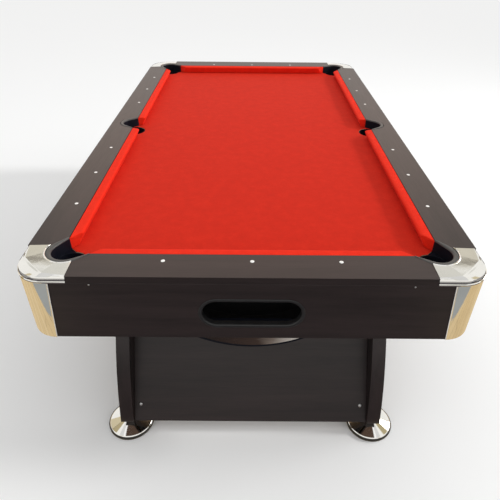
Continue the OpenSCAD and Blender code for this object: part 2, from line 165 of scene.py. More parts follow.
def wood_laminate(name, along, dark, light, rough=0.36):
    """Printed wood-grain laminate: long streaks along one axis with fine pores."""
    mat, tn, links, bsdf = new_material(name)
    stretch = [26.0, 26.0, 26.0]
    stretch[along] = 1.5
    pores = [420.0, 420.0, 420.0]
    pores[along] = 14.0
    streaks = texture(tn, links, "Noise", stretch, Scale=1.0, Detail=8.0, Roughness=0.62,
                      Distortion=0.35)
    fine = texture(tn, links, "Noise", pores, Scale=1.0, Detail=3.0, Roughness=0.55)
    mix = weighted_sum(tn, links, fine.outputs["Fac"], 0.42, streaks.outputs["Fac"])
    middle = tuple((a + b) / 2 for a, b in zip(dark, light))
    colour = ramp(tn, links, mix, [(0.45, dark), (0.68, middle), (0.92, light)])
    links.new(colour, bsdf.inputs["Base Color"])
    links.new(spread(tn, links, fine.outputs["Fac"], rough + 0.08, rough - 0.04),
              bsdf.inputs["Roughness"])
    bsdf.inputs["Specular IOR Level"].default_value = 0.45
    bump(tn, links, bsdf, fine.outputs["Fac"], 0.25, 0.0002)
    return mat


def cloth_material(name, shade):
    """Napped billiard cloth: plain weave, soft mottling and a red sheen."""
    mat, tn, links, bsdf = new_material(name)
    mottle = texture(tn, links, "Noise", Scale=26.0, Detail=6.0, Roughness=0.7)
    nap = texture(tn, links, "Noise", (1.0, 0.35, 1.0), Scale=650.0, Detail=2.0, Roughness=0.6)
    both = weighted_sum(tn, links, nap.outputs["Fac"], 0.55, mottle.outputs["Fac"])
    deep = tuple(c * 0.88 for c in shade)
    pale = (min(1.0, shade[0] * 1.08), shade[1] * 1.25, shade[2] * 1.25)
    colour = ramp(tn, links, both, [(0.40, deep), (0.78, shade), (1.15, pale)])
    links.new(colour, bsdf.inputs["Base Color"])
    settle(bsdf, Roughness=0.92, Specular_IOR_Level=0.08, Sheen_Weight=0.06,
           Sheen_Roughness=0.5, Sheen_Tint=(1.0, 0.25, 0.15, 1.0))
    weave = []
    for direction in ("X", "Y"):
        wave = put(tn, "ShaderNodeTexWave", Scale=320.0, Distortion=1.2, bands_direction=direction)
        wave.inputs["Detail"].default_value = 1.0
        links.new(mapped(tn, links), wave.inputs["Vector"])
        weave.append(wave.outputs["Fac"])
    threads = tn.new("ShaderNodeMath")
    threads.operation = "ADD"
    links.new(weave[0], threads.inputs[0])
    links.new(weave[1], threads.inputs[1])
    fuzz = weighted_sum(tn, links, nap.outputs["Fac"], 1.5, threads.outputs[0])
    bump(tn, links, bsdf, fuzz, 0.35, 0.0004)
    return mat


def chrome_material(name, tint=(0.86, 0.85, 0.82), rough=0.05):
    """Bright plating with faint polishing marks and a slight unevenness."""
    mat, tn, links, bsdf = new_material(name)
    bsdf.inputs["Metallic"].default_value = 1.0
    cloud = texture(tn, links, "Noise", Scale=14.0, Detail=3.0, Roughness=0.5)
    dull = tuple(c * 0.93 for c in tint)
    links.new(ramp(tn, links, cloud.outputs["Fac"], [(0.3, dull), (0.7, tint)]),
              bsdf.inputs["Base Color"])
    marks = texture(tn, links, "Noise", (1.0, 1.0, 0.08), Scale=900.0, Detail=2.0)
    links.new(spread(tn, links, marks.outputs["Fac"], rough * 0.6, rough * 1.8),
              bsdf.inputs["Roughness"])
    bump(tn, links, bsdf, cloud.outputs["Fac"], 0.08, 0.002)
    return mat


def moulded_plastic(name, shade, rough=0.42, grain=900.0, strength=0.25, gloss=0.5):
    """Moulded plastic with a fine spark-eroded grain."""
    mat, tn, links, bsdf = new_material(name)
    cells = texture(tn, links, "Voronoi", Scale=grain)
    cloud = texture(tn, links, "Noise", Scale=30.0, Detail=4.0)
    worn = tuple(c * 1.25 + 0.002 for c in shade)
    links.new(ramp(tn, links, cloud.outputs["Fac"], [(0.35, shade), (0.7, worn)]),
              bsdf.inputs["Base Color"])
    links.new(spread(tn, links, cloud.outputs["Fac"], rough - 0.06, rough + 0.08),
              bsdf.inputs["Roughness"])
    bump(tn, links, bsdf, cells.outputs["Distance"], strength, 0.0002)
    bsdf.inputs["Specular IOR Level"].default_value = gloss
    return mat


def brushed_steel(name, shade, rough=0.3):
    mat, tn, links, bsdf = new_material(name)
    bsdf.inputs["Metallic"].default_value = 1.0
    lines = texture(tn, links, "Noise", (1.0, 1.0, 0.1), Scale=700.0, Detail=3.0)
    dull = tuple(c * 0.75 for c in shade)
    links.new(ramp(tn, links, lines.outputs["Fac"], [(0.3, dull), (0.7, shade)]),
              bsdf.inputs["Base Color"])
    links.new(spread(tn, links, lines.outputs["Fac"], rough - 0.08, rough + 0.12),
              bsdf.inputs["Roughness"])
    bump(tn, links, bsdf, lines.outputs["Fac"], 0.15, 0.0002)
    return mat


def fibreboard(name, shade):
    """Raw pressed board with small flecks."""
    mat, tn, links, bsdf = new_material(name)
    flecks = texture(tn, links, "Voronoi", (1.0, 0.5, 1.0), Scale=240.0, Randomness=1.0)
    cloud = texture(tn, links, "Noise", Scale=18.0, Detail=6.0)
    both = weighted_sum(tn, links, flecks.outputs["Distance"], 0.5, cloud.outputs["Fac"])
    dark = tuple(c * 0.62 for c in shade)
    links.new(ramp(tn, links, both, [(0.35, dark), (0.85, shade)]),
              bsdf.inputs["Base Color"])
    bsdf.inputs["Roughness"].default_value = 0.85
    bump(tn, links, bsdf, flecks.outputs["Distance"], 0.3, 0.0004)
    return mat


def lacquer(name):
    """Glossy bronze lacquer with a painted highlight: its colour pales from left to right along the
    object's X.
    """
    mat, tn, links, bsdf = new_material(name)
    coords = tn.new("ShaderNodeTexCoord")
    split = tn.new("ShaderNodeSeparateXYZ")
    links.new(coords.outputs["Object"], split.inputs["Vector"])
    share = put(tn, "ShaderNodeMapRange", From_Min=-0.2, From_Max=0.2)
    links.new(split.outputs["X"], share.inputs["Value"])
    cloud = texture(tn, links, "Noise", (22.0, 22.0, 160.0), Scale=1.0, Detail=4.0)
    both = weighted_sum(tn, links, cloud.outputs["Fac"], 0.10, share.outputs["Result"])
    # painted highlight: dark brown on the left, a pale band near the right end, dark again at the
    # very end
    stops = [(0.10, (0.008, 0.005, 0.004)), (0.40, (0.026, 0.014, 0.010)),
             (0.60, (0.040, 0.023, 0.016)), (0.72, (0.17, 0.135, 0.11)),
             (0.88, (0.48, 0.44, 0.40)), (0.96, (0.40, 0.36, 0.32)), (1.0, (0.06, 0.04, 0.03))]
    links.new(ramp(tn, links, both, stops), bsdf.inputs["Base Color"])
    links.new(spread(tn, links, cloud.outputs["Fac"], 0.16, 0.30), bsdf.inputs["Roughness"])
    bump(tn, links, bsdf, cloud.outputs["Fac"], 0.05, 0.0006)
    return mat


def pearl(name):
    """White sight inlay with a faint pearly cloud."""
    mat, tn, links, bsdf = new_material(name)
    cloud = texture(tn, links, "Noise", Scale=160.0, Detail=3.0, Distortion=1.5)
    stops = [(0.3, (0.74, 0.73, 0.70)), (0.7, (0.93, 0.93, 0.90))]
    links.new(ramp(tn, links, cloud.outputs["Fac"], stops), bsdf.inputs["Base Color"])
    settle(bsdf, Roughness=0.22, Coat_Weight=0.4)
    return mat


# ---- mesh helpers

def place_object(name, data):
    """A new object in the scene's own collection."""
    obj = bpy.data.objects.new(name, data)
    bpy.context.scene.collection.objects.link(obj)
    return obj


def link(name, verts, faces, materials, smooth=True, face_slots=None, sharp=0.6):
    mesh = bpy.data.meshes.new(name)
    mesh.from_pydata([tuple(v) for v in verts], [], faces)
    obj = place_object(name, mesh)
    for mat in materials:
        mesh.materials.append(mat)
    if face_slots:
        for polygon, slot in zip(mesh.polygons, face_slots):
            polygon.material_index = slot
    work = bmesh.new()
    work.from_mesh(mesh)
    bmesh.ops.remove_doubles(work, verts=work.verts, dist=2e-6)
    bmesh.ops.recalc_face_normals(work, faces=work.faces)
    for face in work.faces:
        face.smooth = smooth
    for edge in work.edges:
        if len(edge.link_faces) == 2 and edge.calc_face_angle(0.0) > sharp:
            edge.smooth = False
    work.to_mesh(mesh)
    work.free()
    return obj


class Grid:
    """Gathers quads and caps for one mesh."""

    def __init__(self):
        self.verts, self.faces, self.slots = [], [], []

    def add(self, verts, faces, slot=0):
        base = len(self.verts)
        self.verts += [Vector(v) for v in verts]
        self.faces += [tuple(base + i for i in f) for f in faces]
        self.slots += [slot] * len(faces)

    def loft(self, rings, closed_ring=True, closed_path=False, caps=False, slot=0):
        """Quads between rings of equal length."""
        n, m = len(rings), len(rings[0])
        faces = []
        for i in range(n if closed_path else n - 1):
            j = (i + 1) % n
            for k in range(m if closed_ring else m - 1):
                l = (k + 1) % m
                faces.append((i * m + k, i * m + l, j * m + l, j * m + k))
        if caps:
            faces.append(tuple(range(m)))
            faces.append(tuple((n - 1) * m + k for k in range(m)))
        self.add([p for ring in rings for p in ring], faces, slot)

    def build(self, name, materials, **options):
        return link(name, self.verts, self.faces, materials, face_slots=self.slots, **options)


def lathe(grid, profile, centre, segments=96, slot=0):
    """Turns a profile of (radius, height) about the vertical through centre."""
    rings = []
    for radius, z in profile:
        ring = []
        for k in range(segments):
            a = 2 * math.pi * k / segments
            ring.append((centre[0] + radius * math.cos(a), centre[1] + radius * math.sin(a),
                         centre[2] + z))
        rings.append(ring)
    grid.loft(rings, slot=slot)


def arc(centre, radius, start, end, steps):
    """Points on an arc, both ends included, angles in degrees."""
    points = []
    for k in range(steps + 1):
        a = math.radians(start + (end - start) * k / steps)
        points.append((centre[0] + radius * math.cos(a), centre[1] + radius * math.sin(a)))
    return points


def rounded(points, radii, steps):
    """Open polyline with rounded inner corners, by one radius for each corner."""
    result = [Vector(points[0])]
    for i in range(1, len(points) - 1):
        here = Vector(points[i])
        a = (Vector(points[i - 1]) - here)
        b = (Vector(points[i + 1]) - here)
        cut = min(radii[i - 1], a.length * 0.49, b.length * 0.49)
        p, q = here + a.normalized() * cut, here + b.normalized() * cut
        for k in range(steps + 1):
            t = k / steps
            result.append((1 - t) ** 2 * p + 2 * t * (1 - t) * here + t ** 2 * q)
    result.append(Vector(points[-1]))
    return result


def mirrored(grid, sign):
    grid.verts = [Vector((v[0] * sign[0], v[1] * sign[1], v[2])) for v in grid.verts]
    return grid


def finish_piece(obj, body, replaced=()):
    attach(obj, body)
    if replaced:
        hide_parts(*replaced)
    return obj


def dress(node, mat, edge=0.0):
    """A CAD node keeps its mesh and gets a material, and a small worn radius on its edges."""
    obj = nodes[node]
    obj.data.materials.clear()
    obj.data.materials.append(mat)
    if edge:
        weld = obj.modifiers.new("weld", "WELD")
        weld.merge_threshold = 1e-5
        bevel = obj.modifiers.new("edge", "BEVEL")
        bevel.width = edge
        bevel.segments = 3
        bevel.limit_method = "ANGLE"
        bevel.angle_limit = math.radians(35)
        bevel.harden_normals = False
    return obj


# ---- materials of this table

DARK_WOOD = (0.0100, 0.0058, 0.0058)
LIGHT_WOOD = (0.0255, 0.0150, 0.0148)
laminate_x = wood_laminate("laminate_grain_x", 0, DARK_WOOD, LIGHT_WOOD)
laminate_y = wood_laminate("laminate_grain_y", 1, DARK_WOOD, LIGHT_WOOD)
laminate_z = wood_laminate("laminate_grain_z", 2, DARK_WOOD, LIGHT_WOOD)
bed_red = cloth_material("bed_cloth_red", (0.60, 0.019, 0.007))
# painted light: the cushions' cloth is a lighter copy of the bed's cloth, for their lit tops
cushion_red_painted_light = cloth_material("cushion_cloth_red_painted_light", (0.80, 0.024, 0.008))
chrome = chrome_material("chrome_plate")
# pale plastic for the posts' rolled edges: a painted highlight along each edge
edge_bead_painted_highlight = moulded_plastic("corner_edge_painted_highlight", (0.62, 0.60, 0.56), 0.30)
grey_plastic = moulded_plastic("pocket_rim_grey", (0.050, 0.050, 0.048), 0.40)
# near-black plastic: painted shade inside the pockets, and the ball box's black edging
black_plastic_and_painted_shade = moulded_plastic("pocket_black_painted_shade", (0.003, 0.004, 0.009), 0.60, gloss=0.12)
bezel_black = moulded_plastic("bezel_black", (0.010, 0.010, 0.011), 0.42)
# the ball box's lacquer, with its highlight painted into the colour
lacquer_painted_highlight = lacquer("lacquer_painted_highlight")
gutter_plastic = moulded_plastic("gutter_black", (0.012, 0.012, 0.013), 0.5)
pad_black = moulded_plastic("foot_pad_black", (0.010, 0.010, 0.010), 0.55, 500.0)
zinc = brushed_steel("zinc_steel", (0.62, 0.62, 0.63))
raw_board = fibreboard("raw_board", (0.42, 0.29, 0.17))
sight_white = pearl("sight_pearl")


# ---- pocket outlines

def between(a, b, share):
    return a[0] + (b[0] - a[0]) * share, a[1] + (b[1] - a[1]) * share


def touch(point, radius):
    """Where a line from point touches a circle about the origin."""
    a = math.atan2(point[1], point[0]) + math.acos(radius / math.hypot(*point))
    return radius * math.cos(a), radius * math.sin(a), math.degrees(a)


def pocket_outline(radius, mouth, steps=40):
    """Outline in the pocket's own plane, from one side of the mouth round the back to the other."""
    tx, ty, angle = touch(mouth, radius)
    side = [(mouth[0] + (tx - mouth[0]) * k / 6, mouth[1] + (ty - mouth[1]) * k / 6)
            for k in range(6)]
    back = arc((0, 0), radius, angle, 360 - angle, steps)
    other = [(x, -y) for x, y in reversed(side)]
    return side + back + other


def corner_place(p):
    """From a corner pocket's own plane to the right rear corner."""
    s = math.sqrt(0.5)
    return CORNER_POCKET[0] - s * p[0] + s * p[1], CORNER_POCKET[1] - s * p[0] - s * p[1]


def side_place(p):
    return SIDE_POCKET[0] - p[0], SIDE_POCKET[1] - p[1]


# ---- bed cloth

def bed_cloth():
    """The cloth over the bed, with its edge turned over into every pocket."""
    edge_x, edge_y = high("bed_cloth", 0), high("bed_cloth", 1)
    fold = 0.0022
    cut = POCKET_R + 0.0043
    # one quarter of the outline: points and, on a pocket's edge, how far the edge turns in
    side = [(edge_x, NOTCH + 0.005)]
    for x, y in arc((0, 0), 1.0, math.degrees(math.asin((NOTCH + 0.005) / cut)), 180, 36):
        side.append((SIDE_POCKET[0] + x * (cut + fold), y * (cut + fold), x, y))
    # a corner pocket's edge in its own plane, from one side round the front to the other
    mouth_u, mouth_v = CORNER_MOUTH[0], CORNER_MOUTH[1] + 0.0033
    front = math.degrees(math.acos(mouth_u / cut))
    reach = mouth_v - cut * math.sin(math.radians(front))
    edge = [((mouth_u + fold, mouth_v - reach * k / 8), (1.0, 0.0)) for k in range(9)]
    edge += [((x * (cut + fold), y * (cut + fold)), (x, y))
             for x, y in arc((0, 0), 1.0, front - 3, 3 - front, 30)]
    edge += [((u, -v), n) for (u, v), n in reversed(edge[:9])]
    pocket_x, pocket_y = CORNER_POCKET
    corner = [(edge_x, pocket_y - NOTCH), (pocket_x + NOTCH + 0.0059, pocket_y - NOTCH)]
    for p, n in edge:
        x, y = corner_place(p)
        base_x, base_y = corner_place((0, 0))
        out_x, out_y = corner_place(n)
        corner.append((x, y, out_x - base_x, out_y - base_y))
    corner += [(pocket_x - NOTCH, pocket_y + NOTCH + 0.0059), (pocket_x - NOTCH, edge_y)]
    right_rear = side[::-1] + corner
    right_front = [tuple(c * (-1) ** i for i, c in enumerate(p)) for p in reversed(right_rear[1:])]
    right = right_front + right_rear
    left = [tuple(-c for c in p) for p in right]
    outline = []
    for p, q in zip(right + left, right[1:] + left + right[:1]):
        outline.append(p)
        gap = math.hypot(q[0] - p[0], q[1] - p[1])
        if gap > 0.06:
            count = int(gap / 0.06) + 1
            outline += [(p[0] + (q[0] - p[0]) * k / count, p[1] + (q[1] - p[1]) * k / count)
                        for k in range(1, count)]
    work = bmesh.new()
    rim = [work.verts.new((p[0], p[1], CLOTH_TOP)) for p in outline]
    edges = [work.edges.new((rim[i], rim[(i + 1) % len(rim)])) for i in range(len(rim))]
    bmesh.ops.triangle_fill(work, use_beauty=True, use_dissolve=False, edges=edges)
    folds = [(0.0004, 0.45), (0.0012, 0.85), (0.0024, 1.0)]
    turned = {}
    for i, p in enumerate(outline):
        if len(p) > 2:
            x, y, out_x, out_y = p
            turned[i] = [rim[i]] + [
                work.verts.new((x - out_x * fold * part, y - out_y * fold * part, CLOTH_TOP - drop))
                for drop, part in folds]
    for i in turned:
        j = (i + 1) % len(outline)
        if j in turned:
            for k in range(len(folds)):
                work.faces.new((turned[i][k], turned[j][k], turned[j][k + 1], turned[i][k + 1]))
    bmesh.ops.recalc_face_normals(work, faces=work.faces)
    for face in work.faces:
        face.smooth = abs(face.normal[2]) < 0.999
    mesh = bpy.data.meshes.new("bed_cloth_sheet")
    work.to_mesh(mesh)
    work.free()
    mesh.materials.append(bed_red)
    obj = place_object("bed_cloth_sheet", mesh)
    finish_piece(obj, "table", ["bed_cloth"])


# ---- cushions

def cushion_profile():
    """Section as (distance from the rail, height), from the back's foot over the nose and under."""
    width = WOOD_X - NOSE_X
    base = low("cushion_rear", 2)
    top = RAIL_TOP
    nose = CLOTH_TOP + 0.036
    line = [
        (0.0, base), (0.0, top - 0.0035), (0.0022, top - 0.0004), (0.010, top - 0.0006),
        (width - 0.007, nose + 0.0046), (width, nose), (width - 0.0055, nose - 0.010),
        (width - 0.0165, base),
    ]
    return rounded(line, [0.0012, 0.0012, 0.006, 0.0046, 0.0042, 0.006], 4)


def cushion(name, node, place, start, end, cut_start, cut_end):
    """A cloth-covered cushion. place turns (distance from rail, along, height) into the frame.
    start and end are the ends at the rail, and the cuts say how far the nose is set back there."""
    profile = cushion_profile()
    width = WOOD_X - NOSE_X
    centre = Vector((width * 0.45, (profile[0][1] + RAIL_TOP) / 2))
    fillet = 0.0045
    near = [0.0, 0.0006, 0.0018, 0.0034, 0.0055, 0.009, 0.014, 0.021, 0.030]
    rings = []
    stations = [(d, 0) for d in near] + [(k / 28, 1) for k in range(1, 28)]
    stations += [(d, 2) for d in reversed(near)]
    for d, part in stations:
        ring = []
        for out, z in profile:
            a = start + cut_start * out / width
            b = end - cut_end * out / width
            if part == 0:
                along, depth = a + d, d
            elif part == 2:
                along, depth = b - d, d
            else:
                a2, b2 = a + near[-1], b - near[-1]
                along, depth = a2 + (b2 - a2) * d, 1.0
            pull = fillet - math.sqrt(max(0.0, fillet ** 2 - (fillet - min(depth, fillet)) ** 2))
            p = Vector((out, z))
            inward = centre - p
            if out > 0.0005:
                p = p + inward.normalized() * pull * 0.75
            pleat = 0.0
            if depth < 0.03 and out > 0.004:
                fade = (1 - depth / 0.03) ** 2
                pleat = 0.0005 * fade * math.sin(z * 900.0 + out * 620.0)
            swell = 0.0
            if part == 1 and 0.005 < out < width - 0.004:
                swell = 0.00018 * math.sin(along * 41.0) + 0.00012 * math.sin(along * 97.0 + 1.0)
            lift = swell if z > CLOTH_TOP + 0.03 else 0.0
            ring.append(place(p[0], along + pleat, p[1] + lift))
        rings.append(ring)
    grid = Grid()
    grid.loft(rings, caps=True)
    obj = grid.build(name, [cushion_red_painted_light], sharp=0.9)
    finish_piece(obj, "table", [node])
    return obj


def cushions():
    set_back = WOOD_X - NOSE_X + 0.001
    for sx, sy in QUARTERS.values():
        side = "left" if sx < 0 else "right"
        part = "front" if sy < 0 else "rear"
        node = f"cushion_{side}_{part}"
        y0, y1 = (low(node, 1), high(node, 1)) if sy > 0 else (-high(node, 1), -low(node, 1))
        cushion(f"{node}_cloth", node, lambda o, a, z, sx=sx, sy=sy: (sx * (WOOD_X - o), sy * a, z),
                y0, y1, 0.009, set_back)
    for part, sy in (("front", -1), ("rear", 1)):
        node = f"cushion_{part}"
        cushion(f"{node}_cloth", node, lambda o, a, z, sy=sy: (a, sy * (WOOD_Y - o), z),
                low(node, 0), high(node, 0), set_back, set_back)


# ---- pocket liners

def liner(grid, place, mouth, rim):
    """Rolled grey rim and black sleeve of one pocket, at the right rear. The sleeve's black is
    painted shade, far darker than the rim's grey.
    """
    top = RAIL_TOP + 0.001
    inner = pocket_outline(POCKET_R, (mouth[0], mouth[1] - 0.001))
    outer = pocket_outline(POCKET_R + rim, (mouth[0], mouth[1] + 0.0035))
    levels = [
        (1.0, -0.0058), (1.0, -0.0022), (0.97, -0.0006), (0.86, 0.0004), (0.6, 0.0008),
        (0.32, 0.0004), (0.12, -0.0006), (0.03, -0.0022), (0.0, -0.0050),
    ]
    rings = []
    for part, drop in levels:
        rings.append([(*place(between(a, b, part)), top + drop) for a, b in zip(inner, outer)])
    grid.loft(rings, closed_ring=False, slot=0)
    # sleeve: down behind the cushions, open towards the bed, in near-black that paints the pocket's
    # shade
    lip = CLOTH_TOP - 0.002
    bottom = low("pocket_rear_right", 2)
    wall = 0.004
    thick = pocket_outline(POCKET_R + wall, (mouth[0], mouth[1] + 0.0025))
    upper = []
    for z in (top - 0.005, top - 0.012, (top + lip) / 2, lip):
        upper.append([(*place(p), z) for p in inner])
    grid.loft(upper, closed_ring=False, slot=1)
    back = []
    for z in (top - 0.0058, lip):
        back.append([(*place(p), z) for p in thick])
    grid.loft(back, closed_ring=False, slot=1)
    for end in (0, -1):
        ends = [(*place(inner[end]), z) for z in (lip, top - 0.005)]
        ends += [(*place(thick[end]), z) for z in (top - 0.0058, lip)]
        grid.add(ends, [(0, 1, 2, 3)], slot=1)
        strip = [(*place(between(inner[end], outer[end], part)), top + drop)
                 for part, drop in levels]
        grid.add(strip, [tuple(range(len(strip)))], slot=0)
    # flat shoulders between the sleeve's sides and the drop ring
    if mouth[0] > POCKET_R / 2:
        tx, ty, angle = touch((mouth[0], mouth[1] - 0.001), POCKET_R)
        reach = POCKET_R + 0.003
        front = math.degrees(math.acos(mouth[0] / reach))
        for side in (1, -1):
            shoulder = []
            for k in range(13):
                turn = math.radians(angle + (front - angle) * k / 12)
                a = (reach * math.cos(turn), reach * math.sin(turn) * side)
                b = (tx + (mouth[0] - tx) * k / 12, (ty + (mouth[1] + 0.002 - ty) * k / 12) * side)
                shoulder.append([(*place(q), z) for q, z in
                                 ((a, lip), (b, lip), (b, lip - 0.004), (a, lip - 0.004))])
            grid.loft(shoulder, caps=True, slot=1)
    # drop ring below the bed's surface, its lip rounded, also in the painted-shade black
    ring_profile = [
        (POCKET_R + wall, bottom), (POCKET_R + wall, lip - 0.001), (POCKET_R + wall - 0.001, lip),
        (POCKET_R + 0.001, lip), (POCKET_R, lip - 0.001), (POCKET_R - 0.007, bottom + 0.001),
        (POCKET_R - 0.006, bottom), (POCKET_R + wall, bottom),
    ]
    rings = []
    for radius, z in ring_profile:
        rings.append([(*place(p), z) for p in arc((0, 0), radius, 0, 360 - 3.75, 95)])
    grid.loft(rings, slot=1)


def pocket_liners():
    for name, sign in QUARTERS.items():
        grid = Grid()
        liner(grid, corner_place, CORNER_MOUTH, 0.016)
        obj = mirrored(grid, sign).build(f"pocket_liner_{name}", [grey_plastic, black_plastic_and_painted_shade])
        finish_piece(obj, "table", [f"pocket_{name}"])
    for name, sx in (("side_left", -1), ("side_right", 1)):
        grid = Grid()
        liner(grid, side_place, SIDE_MOUTH, 0.014)
        obj = mirrored(grid, (sx, 1)).build(f"pocket_liner_{name}", [grey_plastic, black_plastic_and_painted_shade])
        finish_piece(obj, "table", [f"pocket_{name}"])


# ---- corner caps and posts

def skin_path():
    """Outer skin of the right rear corner: (point, normal) at a distance from the bend's start."""
    skin_x, skin_y = high("corner_post_rear_right", 0), high("corner_post_rear_right", 1)
    r = CORNER_R + skin_x - HALF_W
    cx, cy = skin_x - r, skin_y - r
    bend = math.pi / 2 * r

    def at(d):
        if d <= 0:
            return Vector((cx + d, skin_y)), Vector((0.0, 1.0))
        if d >= bend:
            return Vector((skin_x, cy - (d - bend))), Vector((1.0, 0.0))
        a = math.pi / 2 - d / r
        normal = Vector((math.cos(a), math.sin(a)))
        return Vector((cx, cy)) + normal * r, normal

    return at, bend, cx, cy


def along(points, share):
    """Point at a share of a polyline's length."""
    lengths = [(Vector(b) - Vector(a)).length for a, b in zip(points, points[1:])]
    rest = share * sum(lengths)
    for a, b, length in zip(points, points[1:], lengths):
        if rest <= length + 1e-9:
            return Vector(a).lerp(Vector(b), rest / length)
        rest -= length
    return Vector(points[-1])


def corner_cap(name, sign):
    """Plated casting: a bead round the pocket, a plate of three facets, a broad bevel that widens
    at the corner, and a grooved skirt with a lip."""
    at, bend, cx, cy = skin_path()
    skin_x, skin_y = high("corner_post_rear_right", 0), high("corner_post_rear_right", 1)
    x0, y0 = CAP_X + 0.0004, CAP_Y + 0.0004
    r_in = POCKET_R + 0.0164
    px, py = CORNER_POCKET
    first = math.degrees(math.atan2(math.sqrt(r_in ** 2 - (x0 - px) ** 2), x0 - px))
    last = math.degrees(math.atan2(y0 - py, math.sqrt(r_in ** 2 - (y0 - py) ** 2)))
    stations = 112
    inner = arc((px, py), r_in, first, last, stations)
    # the plate's outline, as distances from the two outer faces
    outline = [(skin_x - x0, 0.008), (0.133, 0.011), (0.094, 0.018), (0.056, 0.053),
               (0.018, 0.094), (0.011, 0.133), (0.008, skin_y - y0)]
    outline = [(skin_x - u, skin_y - v) for u, v in outline]
    base = RAIL_TOP + 0.0003
    slope = 0.030
    foot = RAIL_BOTTOM
    outer_z = RAIL_TOP - 0.0045

    def plate(p):
        u, v = skin_x - p[0], skin_y - p[1]
        return base + slope * min(u, v, 0.662 * (u + v) - 0.0561)

    start, end = x0 - cx, bend + cy - y0
    rings = []
    for k in range(stations + 1):
        share = k / stations
        a = Vector(inner[k])
        e = along(outline, share)
        b, n = at(start + (end - start) * share)
        across = (e - a).normalized()
        ring = [(a, foot + 0.002), (a, plate(a) + 0.0006), (a + across * 0.0007, plate(a) + 0.0015),
                (a + across * 0.0018, plate(a) + 0.0019), (a + across * 0.0030, plate(a) + 0.0015),
                (a + across * 0.0038, plate(a) + 0.0006), (a + across * 0.0046, plate(a))]
        begin = a + across * 0.0052
        for part in (0.0, 0.14, 0.28, 0.42, 0.56, 0.70, 0.84, 0.97):
            q = begin.lerp(e, part)
            ring.append((q, plate(q)))
        z_e = plate(e)
        brow = b - n * BROW
        for part, bow in ((0.03, 0.0), (0.2, 0.0006), (0.45, 0.0010), (0.7, 0.0009),
                          (0.88, 0.0004)):
            ring.append((e.lerp(brow, part), z_e + (outer_z - z_e) * part + bow))
        ring.append((brow, outer_z))
        for part in (0.12, 0.3, 0.5, 0.7, 0.86):
            ring.append((b - n * BROW * (1 - part) ** 1.7,
                         outer_z + (foot + 0.0085 - outer_z) * part))
        # the skirt's groove and lip, as (out of the skin, above the foot)
        ring.append((b, foot + 0.0085))
        ring += [(b + n * out, foot + rise) for out, rise in (
            (-0.0005, 0.0076), (-0.0007, 0.0068), (0.0004, 0.0058), (0.0016, 0.0048),
            (0.0020, 0.0028), (0.0014, 0.0010))]
        ring += [(b, foot + 0.0003), (b - n * 0.0030, foot + 0.0003),
                 (b - n * 0.0030, outer_z - 0.0060), (a + across * 0.003, plate(a) - 0.0060),
                 (a + across * 0.003, foot + 0.002)]
        rings.append([(q[0], q[1], z) for q, z in ring])
    grid = Grid()
    grid.loft(rings, caps=True)
    obj = mirrored(grid, sign).build(f"corner_cap_{name}_plate", [chrome], sharp=0.045)
    finish_piece(obj, "table", [f"corner_cap_{name}"])


def corner_post(name, sign):
    """Plated corner sheet with rolled side edges, its arms narrower at the foot, and a pale bead
    along each rolled edge that paints its highlight.
    """
    at, bend, cx, _ = skin_path()
    thick = high("corner_post_rear_right", 0) - HALF_W - 0.0002
    arm_top = cx - low("corner_post_rear_right", 0)
    arm_low = arm_top - 0.018
    z0, z1 = APRON_BOTTOM + 0.0003, RAIL_BOTTOM - 0.0002
    roll = [(0.0, 0.0002), (0.0010, 0.0009), (0.0024, 0.0011), (0.0038, 0.0006), (0.0050, 0.0),
            (0.0062, 0.0)]
    middle = 40
    rings = []
    for part in (0.0, 0.005, 0.015, 0.05, 0.12, 0.2, 0.3, 0.4, 0.5, 0.6, 0.7, 0.8, 0.88, 0.95,
                 0.985, 0.995, 1.0):
        z = z0 + (z1 - z0) * part
        arm = arm_low + (arm_top - arm_low) * part
        begin, end = -arm, bend + arm
        rolled = roll[-1][0]
        inside = [begin + rolled + (end - begin - 2 * rolled) * k / middle
                  for k in range(1, middle)]
        stations = [(begin + d, lift) for d, lift in roll] + [(d, 0.0) for d in inside]
        stations += [(end - d, lift) for d, lift in reversed(roll)]
        outer, inner = [], []
        for d, lift in stations:
            p, n = at(d)
            outer.append(p + n * lift)
            inner.append(p - n * thick)
        rings.append([(q[0], q[1], z) for q in outer + inner[::-1]])
    grid = Grid()
    grid.loft(rings, caps=True)
    # pale beads on the rolled edges: a painted highlight along each edge
    for far in (False, True):
        bead = []
        for part in (0.0, 0.25, 0.5, 0.75, 1.0):
            arm = arm_low + (arm_top - arm_low) * part
            d = bend + arm - 0.0012 if far else 0.0012 - arm
            p, n = at(d)
            across = Vector((-n[1], n[0]))
            ring = []
            for k in range(12):
                a = 2 * math.pi * k / 12
                q = p + across * 0.0013 * math.cos(a) + n * (0.0006 + 0.0011 * math.sin(a))
                ring.append((q[0], q[1], z0 + (z1 - z0) * part))
            bead.append(ring)
        grid.loft(bead, caps=True, slot=1)
    obj = mirrored(grid, sign).build(f"corner_post_{name}_sheet", [chrome, edge_bead_painted_highlight], sharp=0.9)
    finish_piece(obj, "table", [f"corner_post_{name}"])


# ---- return slot

def stadium(half_l, half_h, steps=24):
    r = half_h
    right = arc((half_l - r, 0), r, -90, 90, steps)
    left = arc((r - half_l, 0), r, 90, 270, steps)
    return right + left


